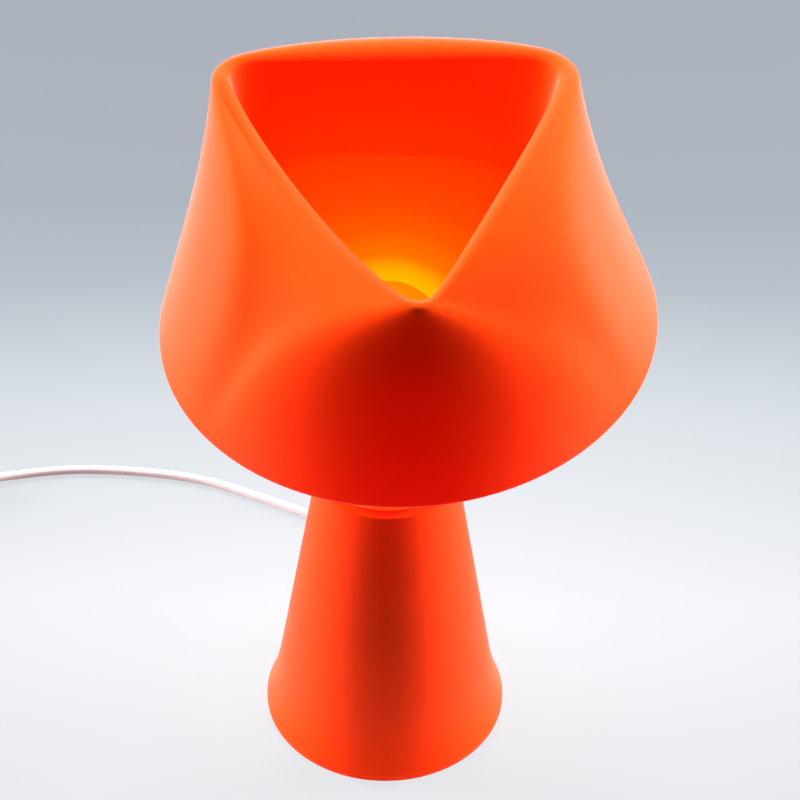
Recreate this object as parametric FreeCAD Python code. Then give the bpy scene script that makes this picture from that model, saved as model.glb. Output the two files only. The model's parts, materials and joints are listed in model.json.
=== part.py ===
import FreeCAD, Part
import math
import os

os.makedirs("parts", exist_ok=True)
V = FreeCAD.Vector

# Silicone table lamp, in millimetres. +Z is up and the origin is on the floor at the centre of the base.
# The front of the folded shade points along -Y, and the cord leaves the base at the rear, along +Y.

# Base: a silicone cover over a rigid cone, weighted at the bottom
lip_radius = 70.0
lip_height = 6.0
lip_fillet = 3.0               # as much as the cover's wall
flare_height = 38.0
flare_bend = 0.45              # where the flare's curve bends, as a share of its height
cone_foot_radius = 67.6        # the straight side carried on down to the floor
neck_radius = 39.2
neck_height = 181.0
cover_wall = 3.0
cover_lift = 0.5               # the cover's lip stays just clear of the floor
cover_top_hole = 31.0
soft_gap = 0.3                 # between silicone and what carries it
cone_wall = 2.2
pad_radius = 58.0
pad_thickness = 2.0
plate_thickness = 3.0
plate_rim = 1.5                # the wider rim that carries the cone
ballast_radius = 50.0
ballast_height = 34.0
chamber_radius = 19.0
chamber_height = 26.0          # room under the ballast's roof for the cord's bend
slot_width = 24.0
top_plate_thickness = 3.0

# Threaded tube up the middle, with its nuts and washers
tube_radius = 5.0
tube_bore = 3.6
tube_clearance = 0.1
tube_below_nut = 1.5
tube_above_seat = 5.0
nut_flats = 14.0
nut_height = 3.5
washer_radius = 10.0
washer_thickness = 1.5

# Screws of the bottom plate
plate_screw_count = 4
plate_screw_circle = 45.0
plate_screw_start = 45.0       # degrees to the first screw
screw_radius = 1.75
screw_head_radius = 3.2
screw_head_height = 1.6
screw_clearance = 0.1
screw_slot_width = 0.8
screw_slot_depth = 0.7
plate_screw_length = 9.0
plate_screw_end_gap = 0.5

# Lamp holder
seat_radius = 30.5
seat_rise = 2.7                # of the seat over the neck
holder_radius = 19.5
holder_wall = 2.2
holder_cap_height = 18.3       # from the seat up to where the cap meets the body
holder_body_height = 34.0
holder_gap = 0.3
holder_thread_pitch = 3.0      # the coarse thread round the holder, as rings
holder_thread_depth = 0.5
cap_thread_count = 4
body_thread_count = 6
cap_thread_start = 4.0         # above the cap's foot
body_thread_start = 2.0
mouth_lip = 0.8
mouth_lip_height = 2.0
insert_drop = 7.0              # of the insert's underside below the top of the cap
insert_thickness = 5.0
thread_shell_radius = 13.45    # inside
thread_shell_wall = 0.5
thread_shell_hole = 8.0
thread_shell_height = 28.5
ring_height = 7.0
ring_flange_radius = 27.0
ring_flange = 2.0
ring_collar = 3.2
ring_gap = 0.25
ring_notch_count = 12
notch_radius = 1.6
notch_circle = 27.6
contact_width = 5.0
contact_thickness = 0.6
contact_reach = 6.0            # each way from the axis
contact_slope = (-2.0, 1.0)    # where the strip leaves its foot and where it reaches its top
contact_gap = 0.1
terminal_offset = 9.0
terminal_head_radius = 2.6
terminal_head = 1.4
terminal_screw_radius = 1.5
terminal_screw_length = 3.3
terminal_hole_gap = 0.1

# Bulb
bulb_radius = 30.0
bulb_tip_rise = 3.5            # of the bulb's tip over the insert
bulb_tip_radius = 4.5
bulb_tip_height = 1.3
insulator_height = 2.6
insulator_foot_radius = 6.0
insulator_top_radius = 11.0
bulb_cap_radius = 13.2
bulb_cap_height = 26.0         # from the tip to the cap's top
bulb_cap_wall = 0.5
bulb_cap_floor_hole = 9.7
bulb_cap_edge = 1.0            # plain edge above and below the thread
thread_pitch = 3.63
thread_depth = 0.7
crest_share = (0.35, 0.65)     # where a crest of the thread begins and ends
housing_collar_radius = 11.95
housing_collar = 5.0           # how far it reaches down into the cap
housing_neck_radius = 14.6
housing_neck_height = 9.0
housing_bowl_height = 26.5     # from the neck's top to the diffuser's foot
diffuser_drop = 13.0           # of the diffuser's foot below the sphere's centre
housing_wall = 1.6
housing_curve = (0.35, 0.62)   # where the curve above the neck bends, as shares of its height
housing_shoulder = 4.0
diffuser_wall = 1.4
board_thickness = 1.6
board_gap = 0.5
driver_size = (1.6, 20.0, 40.0)

# Shade: one sheet that rises from the neck as a funnel, folds over outward and hangs down as a skirt
shade_floor_thickness = 3.0
shade_hole = 20.5
funnel_radius = 36.0
sheet = 2.5
funnel_sheet = 5.0             # below the ledge inside
ledge_from_neck = 168.0        # along the sheet, up from the neck
ledge_slope = 3.0
rim_radius = 133.3
rim_centre = (10.4, -0.8, 110.0)         # heights here are above the neck
rim_tilt_right = 2.6           # degrees, the right side up
rim_tilt_back = 6.3            # degrees, the back up
fold_corners = [(15.0, -81.0, 195.5), (71.5, 50.5, 235.2), (-71.5, 56.0, 227.7)]
fold_corner_radii = [12.0, 21.0, 18.0]
fold_softness = 10.3           # how much the fold's sides bulge between its corners
fold_side_rises = [7.0, 2.0, -6.0]       # front to right, right to left, left to front
roll_corner_radii = [4.0, 5.8, 5.0]
roll_side_radii = [7.3, 11.0, 7.3]
shoulder_corners = [(48.0, -62.0), (71.5, 50.5), (-71.5, 56.0), (-28.0, -62.0)]
shoulder_corner_radii = [36.0, 33.0, 25.5, 36.0]
shoulder_side_bulges = [-4.0, 19.0, 0.0, 0.0]
shoulder_corner_drops = [8.0, 44.0, 44.0, 8.0]     # from the middle of the roll
shoulder_side_drops = [12.0, 31.0, 12.0, 12.0]
skirt_corner_ends = [10.0, 29.5, 25.5]   # degrees from upright at the rim
skirt_side_ends = [24.0, 30.0, 24.0]
skirt_reach = 0.38             # of its handle at the rim, as a share of its length
skirt_follow = 0.5             # how far its lower handle takes after the shoulder
skirt_swell = 10.0             # how far out that handle stands
shade_column_count = 72

# Cord
cord_radius = 2.8
gland_height = 12.0
gland_root_radius = 5.2
gland_tip_radius = 3.6
gland_flange_radius = 6.6
gland_flange = 2.0
gland_bore_gap = 0.1
gland_hole_gap = 0.15
gland_plain = 3.0              # plain root outside the base, before the ribs
gland_rib_count = 4
gland_groove = 0.5
gland_rib_shape = (0.6, 0.7, 0.9)        # where a rib ends, its groove begins and its groove ends
cord_bend = 14.0               # inside the base, up into the tube
sheath_above_tube = 1.0
conductor_radius = 0.9
conductor_offset = 1.3
clamp_place = 38.0             # along +Y from the centre
clamp_size = (21.0, 8.0, 12.0)
clamp_bore_gap = 0.05
clamp_screw_offset = 7.5
clamp_screw_radius = 1.25
clamp_screw_head_radius = 2.2
clamp_screw_head = 1.4
clamp_screw_depth = 2.0        # into the bottom plate
lead_route = [(0, 98, 12), (0, 118, 10), (-14, 138, 5), (-40, 150.5, 2.8), (-80, 170, 2.8), (-120, 188, 2.8),
              (-165, 194.5, 2.8), (-205, 195.5, 2.8), (-238, 189.5, 3), (-264, 179.5, 6)]
between_route = [(-327.5, 155.1, 6), (-345.5, 148.2, 5), (-368.4, 146.5, 4.2), (-386.4, 139.6, 4)]
tail_route = [(-413.1, 76.8, 10.3), (-407, 60.5, 9.6), (-396, 45, 8), (-383, 33, 6.9)]

# Switch on the cord
switch_heading = 201.0         # degrees about +Z, along the cord away from the lamp
switch_length = 68.0
switch_width = 27.0
switch_split = 9.5
switch_height = 17.5
switch_wall = 2.0
switch_rounding = 11.0
switch_rim = 2.0
switch_screw_offset = 22.0     # each way from the middle
post_side = 6.6                # from the switch's middle line
post_radius = 3.0
post_root = 0.5                # into the wall that carries it
post_hole_radius = 1.4
post_depth = 5.5               # of the hole in the upper post
switch_screw_radius = 1.1
switch_screw_head_radius = 2.4
switch_screw_sunk = (0.2, 1.6)           # bottom and top of the head
switch_head_hole_radius = 2.6
rocker_reach = 11.0
rocker_width = 11.0
rocker_pin_height = 12.5
rocker_tilt = 8.0              # degrees each way from level
rocker_gap = 0.4
rocker_low = -3.0              # heights from the pin: underside, middle and ends of the top
rocker_middle = 5.8
rocker_end = 7.6
ear_thickness = 1.6
ear_length = 7.0
pin_radius = 1.2
pin_gap = 0.05
terminal_block = (7.0, 5.0, 4.0)
terminal_block_offset = 15.0
terminal_block_side = -5.0
terminal_bore = 0.8
leaf_width = 4.0
leaf_reach = 11.5
leaf_foot = 4.0
leaf_rise = 2.4
leaf_thickness = 0.4
leaf_corner = 0.1              # how much further out its upper bends are
core_in_cord = 3.0             # how far the cores start from the switch's ends
core_straight = 3.0            # straight ends of the broken core

# Coil of the cord that is put away, its tie and the plug
coil_centre = (-376.0, 97.0)
coil_inner_radius = 23.0
coil_start = 111.0             # degrees, where the first turn begins
coil_turns_in = 3.25           # spiralling in, below
coil_turns_out = 3.0           # spiralling out, above
coil_gap = 0.7                 # between turns
coil_lift = 1.2                # room for the tie under the turns
tie_thickness = 0.8
tie_width = 9.0
tie_gap = 0.25
tie_rounding = 1.0
tie_turns = (0.5, 2.5)         # where the tie is, the innermost and outermost turns count so many
plug_width = 35.3
plug_thickness = 13.7
plug_relief = 22.0             # the cord's tapered sleeve
relief_radii = (3.7, 5.0)
plug_steps = [(0.0, 15.0, 11.0), (8.0, 26.0, 13.0), (18.0, plug_width, plug_thickness),
              (34.0, plug_width, plug_thickness)]        # distance from the sleeve, width, thickness
plug_corner = 0.42             # of the thickness
plug_root = 9.0                # how deep the pins are held in the plug
plug_pin_radius = 2.0
plug_pin_length = 19.0
plug_pin_spacing = 18.6
sleeve_length = 10.0
sleeve_gap = 0.25              # the sleeve's outside under the pin's
sleeve_wall = 0.4


def export(name, shape):
    shape.exportStep("parts/" + name + ".step")
    print(name, "solids", len(shape.Solids), "valid", shape.isValid(), "volume", round(shape.Volume, 1))


def cylinder(radius, bottom, top, x=0.0, y=0.0):
    return Part.makeCylinder(radius, top - bottom, V(x, y, bottom))


def tube(outer, inner, bottom, top):
    return cylinder(outer, bottom, top).cut(cylinder(inner, bottom - 1, top + 1))


def revolved(profile):
    """A solid of revolution about Z from (radius, height) points joined by straight lines."""
    points = [V(r, 0, z) for r, z in profile]
    return Part.Face(Part.makePolygon(points + points[:1])).revolve(V(0, 0, 0), V(0, 0, 1), 360)


# Base

cone_slope = (cone_foot_radius - neck_radius) / neck_height


def cone_radius(height):
    return cone_foot_radius - cone_slope * height


def side_line(inset, top):
    """The outside of the base, from lip to top, moved inward by inset."""
    lean = math.hypot(1, cone_slope)
    flare_top = V(cone_radius(flare_height) - inset * lean, 0, flare_height)
    lip = V(lip_radius - inset, 0, lip_height)
    bend_height = lip_height + flare_bend * (flare_height - lip_height)
    bend = V(cone_radius(bend_height) - inset * lean, 0, bend_height)
    flare = Part.BezierCurve()
    flare.setPoles([lip, bend, flare_top])
    return [flare.toShape(), Part.makeLine(flare_top, V(cone_radius(top) - inset * lean, 0, top))]


def side_radius(height, inset):
    """The radius of the flare, moved inward by inset, at this height."""
    flare = side_line(inset, neck_height)[0].Curve
    low, high = 0.0, 1.0
    while high - low > 1e-9:
        middle = (low + high) / 2
        if flare.value(middle).z < height:
            low = middle
        else:
            high = middle
    return flare.value(low).x


def closed_turn(edges):
    wire = Part.Wire(Part.__sortEdges__(edges))
    return Part.Face(wire).revolve(V(0, 0, 0), V(0, 0, 1), 360)


def base_cover():
    outside = side_line(0.0, neck_height)
    inside = side_line(cover_wall, neck_height - cover_wall)
    in_top = inside[1].Vertexes[-1].Point
    out_top = outside[1].Vertexes[-1].Point
    foot = V(lip_radius - lip_fillet, 0, cover_lift)
    side = V(lip_radius, 0, cover_lift + lip_fillet)
    corner = math.sqrt(0.5) * lip_fillet
    middle = V(lip_radius - lip_fillet + corner, 0, cover_lift + lip_fillet - corner)
    edges = outside + inside
    edges += [Part.makeLine(V(lip_radius, 0, lip_height), side), Part.Arc(side, middle, foot).toShape()]
    hole_top = V(cover_top_hole, 0, neck_height)
    hole_foot = V(cover_top_hole, 0, neck_height - cover_wall)
    edges += [Part.makeLine(foot, V(lip_radius - cover_wall, 0, lip_height)),
              Part.makeLine(out_top, hole_top), Part.makeLine(hole_top, hole_foot),
              Part.makeLine(hole_foot, in_top)]
    return closed_turn(edges)


plate_top = pad_thickness + plate_thickness
cover_floor = neck_height - cover_wall                    # underside of the cover's turned-in top
top_plate_top = cover_floor - soft_gap
top_plate_bottom = top_plate_top - top_plate_thickness
cone_inset = cover_wall + soft_gap


def inner_cone():
    outside = side_line(cone_inset, top_plate_bottom)
    inside = side_line(cone_inset + cone_wall, top_plate_bottom)
    out_top, in_top = outside[1].Vertexes[-1].Point, inside[1].Vertexes[-1].Point
    out_foot = V(lip_radius - cone_inset, 0, lip_height)
    in_foot = V(lip_radius - cone_inset - cone_wall, 0, lip_height)
    down_out, down_in = V(out_foot.x, 0, plate_top), V(in_foot.x, 0, plate_top)
    edges = outside + inside + [Part.makeLine(out_foot, down_out), Part.makeLine(down_out, down_in),
                                Part.makeLine(down_in, in_foot), Part.makeLine(out_top, in_top)]
    return closed_turn(edges)


def around(count, radius, start=0.0):
    for i in range(count):
        angle = math.radians(start + 360.0 * i / count)
        yield radius * math.cos(angle), radius * math.sin(angle)


ballast_bottom = plate_top
ballast_top = ballast_bottom + ballast_height
chamber_top = ballast_bottom + chamber_height


def plate_screw_holes(radius, bottom, top):
    return [cylinder(radius, bottom, top, x, y)
            for x, y in around(plate_screw_count, plate_screw_circle, plate_screw_start)]


def ballast():
    body = cylinder(ballast_radius, ballast_bottom, ballast_top)
    body = body.cut(cylinder(chamber_radius, ballast_bottom - 1, chamber_top))
    body = body.cut(cylinder(tube_radius + tube_clearance, ballast_bottom, ballast_top + 1))
    slot = Part.makeBox(slot_width, ballast_radius + 2, chamber_height + 1,
                        V(-slot_width / 2, 0, ballast_bottom - 1))
    body = body.cut(slot)
    screw_top = pad_thickness + plate_screw_length
    for hole in plate_screw_holes(screw_radius, ballast_bottom - 1, screw_top + plate_screw_end_gap):
        body = body.cut(hole)
    return body


def base_plate():
    plate = cylinder(lip_radius - cone_inset - cone_wall - soft_gap, pad_thickness, plate_top)
    rim = cylinder(lip_radius - cover_wall - soft_gap, plate_top - plate_rim, plate_top)
    plate = plate.fuse(rim)
    for hole in plate_screw_holes(screw_radius + screw_clearance, 0, plate_top + 1):
        plate = plate.cut(hole)
    for hole in plate_screw_holes(screw_head_radius + screw_clearance, 0, pad_thickness + screw_head_height):
        plate = plate.cut(hole)
    radius = clamp_screw_radius + screw_clearance
    for x, y in clamp_screw_places():
        plate = plate.cut(cylinder(radius, plate_top - clamp_screw_depth, plate_top + 1, x, y))
    return plate.removeSplitter()


def plate_screws():
    screws = []
    for x, y in around(plate_screw_count, plate_screw_circle, plate_screw_start):
        head = cylinder(screw_head_radius, pad_thickness, pad_thickness + screw_head_height, x, y)
        shank = cylinder(screw_radius, pad_thickness, pad_thickness + plate_screw_length, x, y)
        slot = Part.makeBox(2 * screw_head_radius, screw_slot_width, screw_slot_depth,
                            V(x - screw_head_radius, y - screw_slot_width / 2, pad_thickness))
        screws.append(head.fuse(shank).cut(slot))
    return Part.makeCompound(screws)


def foot_pad():
    return cylinder(pad_radius, 0, pad_thickness)


# Threaded tube, nuts and washers

seat_top = neck_height + seat_rise
tube_bottom = chamber_top - nut_height - washer_thickness - tube_below_nut
tube_top = seat_top + tube_above_seat


def threaded_tube():
    return tube(tube_radius, tube_bore, tube_bottom, tube_top)


def hexagon(flats, bottom, top):
    corner = flats / math.sqrt(3)
    points = [V(x, y, bottom) for x, y in around(6, corner)]
    return Part.Face(Part.makePolygon(points + points[:1])).extrude(V(0, 0, top - bottom))


washer_places = [chamber_top - washer_thickness, ballast_top]
nut_places = [chamber_top - washer_thickness - nut_height, ballast_top + washer_thickness]


def stem_washers():
    return Part.makeCompound([tube(washer_radius, tube_radius + tube_clearance, z, z + washer_thickness)
                              for z in washer_places])


def stem_nuts():
    bore = cylinder(tube_radius + tube_clearance, tube_bottom, tube_top)
    return Part.makeCompound([hexagon(nut_flats, z, z + nut_height).cut(bore) for z in nut_places])


def top_plate():
    radius = cone_radius(top_plate_bottom) - cone_inset - soft_gap
    return tube(radius, tube_radius + tube_clearance, top_plate_bottom, top_plate_top)


def shade_seat():
    return tube(seat_radius, tube_radius + tube_clearance, top_plate_top, seat_top)


# Lamp holder

cap_floor = seat_top + holder_wall
holder_split = seat_top + holder_cap_height
holder_top = holder_split + holder_body_height
insert_bottom = holder_split - insert_drop
shell_floor = insert_bottom + insert_thickness
thread_shell_top = shell_floor + thread_shell_height
shade_floor = seat_top + soft_gap
bulb_tip = shell_floor + bulb_tip_rise


def thread_line(start, count):
    """The zigzag of the holder's outer thread, as (radius, height) points."""
    line = [(holder_radius, start)]
    for i in range(count):
        foot = start + i * holder_thread_pitch
        line += [(holder_radius - holder_thread_depth, foot + holder_thread_pitch / 2),
                 (holder_radius, foot + holder_thread_pitch)]
    return line


def holder_cap():
    """The lower shell, threaded outside for the ring."""
    inner, hole = holder_radius - holder_wall, tube_radius + tube_clearance
    threads = thread_line(seat_top + cap_thread_start, cap_thread_count)
    foot = [(hole, seat_top), (holder_radius, seat_top)]
    rim = [(holder_radius, holder_split), (inner, holder_split), (inner, cap_floor), (hole, cap_floor)]
    return revolved(foot + threads + rim)


def holder_body():
    """The upper shell, threaded outside, with a lip at its mouth."""
    inner = holder_radius - holder_wall
    threads = thread_line(holder_split + body_thread_start, body_thread_count)
    lip_foot = holder_top - mouth_lip_height
    return revolved([(inner, holder_split), (holder_radius, holder_split)] + threads +
                    [(holder_radius, holder_top - 1), (holder_radius - 1, holder_top),
                     (inner - mouth_lip, holder_top), (inner - mouth_lip, lip_foot),
                     (inner, lip_foot - mouth_lip)])


def holder_insert():
    """The disc that carries the contacts, held between the two shells."""
    body = cylinder(holder_radius - holder_wall - holder_gap, insert_bottom, shell_floor)
    radius = terminal_screw_radius + terminal_hole_gap
    hole_top = insert_bottom + terminal_screw_length + terminal_hole_gap
    for side in (-1, 1):
        body = body.cut(cylinder(radius, insert_bottom - 1, hole_top, side * terminal_offset, 0))
    return body


def thread_shell():
    outer = thread_shell_radius + thread_shell_wall
    body = tube(outer, thread_shell_radius, shell_floor, thread_shell_top)
    foot = tube(outer, thread_shell_hole, shell_floor, shell_floor + thread_shell_wall)
    return body.fuse(foot).removeSplitter()


def centre_contact():
    """A bent strip that stands under the bulb's tip."""
    top = bulb_tip - contact_gap
    thick, reach = contact_thickness, contact_reach
    foot, head = contact_slope
    points = [(-reach, shell_floor), (foot, shell_floor), (head, top - thick), (reach, top - thick),
              (reach, top), (head - thick, top), (foot - thick, shell_floor + thick),
              (-reach, shell_floor + thick)]
    loop = [V(x, -contact_width / 2, z) for x, z in points]
    return Part.Face(Part.makePolygon(loop + loop[:1])).extrude(V(0, contact_width, 0))


def terminal_screws():
    screws = []
    for side in (-1, 1):
        x = side * terminal_offset
        head = cylinder(terminal_head_radius, insert_bottom - terminal_head, insert_bottom, x, 0)
        shank = cylinder(terminal_screw_radius, insert_bottom, insert_bottom + terminal_screw_length, x, 0)
        screws.append(head.fuse(shank))
    return Part.makeCompound(screws)


def holder_ring():
    """The ring that clamps the shade's floor, with grip notches round its edge."""
    bottom = shade_floor + shade_floor_thickness + soft_gap
    bore = holder_radius + ring_gap
    body = tube(ring_flange_radius, bore, bottom, bottom + ring_flange)
    body = body.fuse(tube(holder_radius + ring_collar, bore, bottom, bottom + ring_height))
    for x, y in around(ring_notch_count, notch_circle):
        body = body.cut(cylinder(notch_radius, bottom - 1, bottom + ring_flange + 1, x, y))
    return body.removeSplitter()


# Bulb

def bulb_contact():
    return cylinder(bulb_tip_radius, bulb_tip, bulb_tip + bulb_tip_height)


insulator_bottom = bulb_tip + bulb_tip_height
insulator_top = insulator_bottom + insulator_height
bulb_cap_top = bulb_tip + bulb_cap_height
housing_neck_top = bulb_cap_top + housing_neck_height
housing_top = housing_neck_top + housing_bowl_height
bulb_centre = housing_top + diffuser_drop


def bulb_insulator():
    return revolved([(0, insulator_bottom), (insulator_foot_radius, insulator_bottom),
                     (insulator_top_radius, insulator_top), (0, insulator_top)])


def bulb_cap():
    """The screw cap: rounded thread crests as rings, open at the top for the driver."""
    outside = [(insulator_top_radius, insulator_top)]
    height = insulator_top + bulb_cap_edge
    while height + thread_pitch < bulb_cap_top - bulb_cap_edge:
        outside += [(bulb_cap_radius - thread_depth, height)]
        outside += [(bulb_cap_radius, height + share * thread_pitch) for share in crest_share]
        height += thread_pitch
    outside += [(bulb_cap_radius - thread_depth, height), (bulb_cap_radius - thread_depth, bulb_cap_top)]
    inside = [(r - bulb_cap_wall, z) for r, z in reversed(outside[1:])]
    floor = [(bulb_cap_floor_hole, insulator_top + bulb_cap_wall), (bulb_cap_floor_hole, insulator_top)]
    return revolved(outside + inside + floor)


def housing_edges(inset):
    """The bulb's housing, from its collar in the cap out to the diffuser, as lines and a smooth curve."""
    shoulder = math.sqrt(bulb_radius ** 2 - diffuser_drop ** 2)
    collar, neck = housing_collar_radius - inset, housing_neck_radius - inset
    step_height = bulb_cap_top + inset
    low, high = V(collar, 0, bulb_cap_top - housing_collar), V(collar, 0, step_height)
    foot, top = V(neck, 0, step_height), V(neck, 0, housing_neck_top)
    span = housing_top - housing_neck_top
    curve = Part.BezierCurve()
    curve.setPoles([top, V(neck, 0, housing_neck_top + housing_curve[0] * span),
                    V(shoulder - inset - housing_shoulder, 0, housing_neck_top + housing_curve[1] * span),
                    V(shoulder - inset, 0, housing_top)])
    return [Part.makeLine(low, high), Part.makeLine(high, foot), Part.makeLine(foot, top), curve.toShape()]


def bulb_housing():
    outside, inside = housing_edges(0.0), housing_edges(housing_wall)
    ends = [Part.makeLine(outside[0].Vertexes[0].Point, inside[0].Vertexes[0].Point),
            Part.makeLine(outside[-1].Vertexes[-1].Point, inside[-1].Vertexes[-1].Point)]
    return closed_turn(outside + inside + ends)


def bulb_diffuser():
    centre = V(0, 0, bulb_centre)
    body = Part.makeSphere(bulb_radius, centre).cut(Part.makeSphere(bulb_radius - diffuser_wall, centre))
    keep = cylinder(2 * bulb_radius, housing_top, bulb_centre + 2 * bulb_radius)
    return body.common(keep)


def led_board():
    radius = math.sqrt((bulb_radius - diffuser_wall) ** 2 - diffuser_drop ** 2) - board_gap
    return cylinder(radius, housing_top, housing_top + board_thickness)


def led_driver():
    thick, wide, tall = driver_size
    return Part.makeBox(thick, wide, tall, V(-thick / 2, -wide / 2, housing_top - tall))


# Shade

class Loop:
    """A rounded outline round these corners, where its outward normal has this angle."""

    def __init__(self, angle, corners, radii):
        c, s = math.cos(angle), math.sin(angle)
        reach = [corner[0] * c + corner[1] * s + radius for corner, radius in zip(corners, radii)]
        far = max(reach)
        pull = [math.exp((value - far) / fold_softness) for value in reach]
        share = [value / sum(pull) for value in pull]
        self.corners = share
        self.sides = [4 * a * b for a, b in zip(share, share[1:] + share[:1])]
        self.out = far + fold_softness * math.log(sum(pull))
        self.along = sum(part * (corner[1] * c - corner[0] * s) for part, corner in zip(share, corners))

    def blend(self, corner_values, side_values):
        value = sum(a * b for a, b in zip(self.corners, corner_values)) * (1 - max(self.sides))
        return value + sum(a * b for a, b in zip(self.sides, side_values))


def fold_loop(angle):
    return Loop(angle, fold_corners, fold_corner_radii)


def rim_point(angle):
    x, y = rim_radius * math.cos(angle), rim_radius * math.sin(angle)
    lift = x * math.tan(math.radians(rim_tilt_right)) + y * math.tan(math.radians(rim_tilt_back))
    return rim_centre[0] + x, rim_centre[1] + y, neck_height + rim_centre[2] + lift


def column_angles():
    """Normal angles of the shade's columns, spread evenly over turn and over length along the fold."""
    fine = 40 * shade_column_count
    step = 2 * math.pi / fine
    crest = []
    for i in range(fine + 1):
        fold, c, s = fold_loop(i * step), math.cos(i * step), math.sin(i * step)
        crest.append((fold.out * c - fold.along * s, fold.out * s + fold.along * c))
    walked = [0.0]
    for a, b in zip(crest, crest[1:]):
        walked.append(walked[-1] + math.dist(a, b) / rim_radius + step)
    angles, i = [], 0
    for column in range(shade_column_count):
        target = walked[-1] * column / shade_column_count
        while walked[i + 1] < target:
            i += 1
        angles.append((i + (target - walked[i]) / (walked[i + 1] - walked[i])) * step)
    return angles


class Column:
    """One upright line of the shade, worked in (along the normal, along the tangent, up) at its angle."""

    def __init__(self, angle):
        self.normal = (math.cos(angle), math.sin(angle))
        fold = fold_loop(angle)
        self.roll = fold.blend(roll_corner_radii, roll_side_radii)
        height = sum(share * corner[2] for share, corner in zip(fold.corners, fold_corners))
        height += sum(share * rise for share, rise in zip(fold.sides, fold_side_rises))
        self.centre = (fold.out, fold.along, neck_height + height - self.roll)
        rise, run = self.centre[2] - shade_floor, self.centre[0] - funnel_radius
        self.length = math.hypot(rise, run)
        self.lean = math.atan2(run, rise) - math.asin((self.roll - sheet) / self.length)
        shoulder = Loop(angle, shoulder_corners, shoulder_corner_radii)
        bulge = sum(share * rise for share, rise in zip(shoulder.sides, shoulder_side_bulges))
        run = shoulder.out + bulge - self.centre[0]
        drop = shoulder.blend(shoulder_corner_drops, shoulder_side_drops)
        self.start = math.acos(self.roll / math.hypot(run, drop)) - math.atan2(drop, run)
        top = (self.centre[0] + self.roll * math.cos(self.start), self.centre[1],
               self.centre[2] + self.roll * math.sin(self.start))
        self.rim = self.local(rim_point(angle))
        end = math.radians(fold.blend(skirt_corner_ends, skirt_side_ends))
        reach = skirt_reach * math.dist(top, self.rim)
        low = self.rim[0] - reach * math.sin(end)
        self.skirt = [top, (self.centre[0] + run, shoulder.along, self.centre[2] - drop),
                      (low + (shoulder.out - low) * skirt_follow + skirt_swell,
                       self.rim[1] + (shoulder.along - self.rim[1]) * skirt_follow,
                       self.rim[2] + reach * math.cos(end)),
                      self.rim]

    def local(self, point):
        c, s = self.normal
        return point[0] * c + point[1] * s, point[1] * c - point[0] * s, point[2]

    def world(self, out, along, up):
        c, s = self.normal
        return V(out * c - along * s, out * s + along * c, up)

    def on_roll(self, turn, inset):
        """A point of the roll: turn 0 is where the skirt leaves it, 1 is where it meets the funnel."""
        angle = self.start + turn * (math.pi - self.lean - self.start)
        radius = self.roll - inset
        return self.world(self.centre[0] + radius * math.cos(angle), self.centre[1],
                          self.centre[2] + radius * math.sin(angle))

    def on_skirt(self, part, inset):
        """A point of the skirt: part 0 is under the fold, 1 is at the rim."""
        rest = 1 - part
        weights = (rest ** 3, 3 * rest ** 2 * part, 3 * rest * part ** 2, part ** 3)
        out, along, up = (sum(w * pole[i] for w, pole in zip(weights, self.skirt)) for i in range(3))
        slopes = (rest ** 2, 2 * rest * part, part ** 2)
        steps = list(zip(self.skirt, self.skirt[1:]))
        run, drop = (sum(w * (b[i] - a[i]) for w, (a, b) in zip(slopes, steps)) for i in (0, 2))
        size = math.hypot(run, drop)
        return self.world(out + inset * drop / size, along, up - inset * run / size)

    def on_funnel(self, distance, inset):
        """A point of the funnel, so far up from the neck and so far in from its hidden side."""
        out = funnel_radius + distance * math.sin(self.lean) - inset * math.cos(self.lean)
        up = shade_floor + distance * math.cos(self.lean) + inset * math.sin(self.lean)
        return self.world(out, self.centre[1] * distance / self.length, up)

    def funnel_at_height(self, height, inset):
        distance = (height - shade_floor - inset * math.sin(self.lean)) / math.cos(self.lean)
        return self.on_funnel(distance, inset)

    def at_floor(self, radius, height):
        return self.world(radius, 0.0, height)


def ring_poles(points):
    steps = [float(i) for i in range(len(points) + 1)]
    curve = Part.BSplineCurve()
    curve.interpolate(Points=points, PeriodicFlag=True, Parameters=steps)
    return curve


def surface_through(rings):
    """One face through closed rings, straight between two of them and smooth over more."""
    curves = [ring_poles(points) for points in rings]
    columns = list(zip(*[curve.getPoles() for curve in curves]))
    if len(rings) == 2:
        rows, mults, knots, degree = columns, [2, 2], [0.0, 1.0], 1
    else:
        middle = [sum((a - b).Length for a, b in zip(r, s)) / len(r) for r, s in zip(rings, rings[1:])]
        steps = [0.0]
        for length in middle:
            steps.append(steps[-1] + length)
        rows = []
        for column in columns:
            across = Part.BSplineCurve()
            across.interpolate(Points=list(column), Parameters=steps)
            rows.append(across.getPoles())
        mults, knots, degree = across.getMultiplicities(), across.getKnots(), across.Degree
    surface = Part.BSplineSurface()
    surface.buildFromPolesMultsKnots([list(row) for row in rows], curves[0].getMultiplicities(), mults,
                                     curves[0].getKnots(), knots, True, False, curves[0].Degree, degree)
    return surface.toShape()


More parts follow.
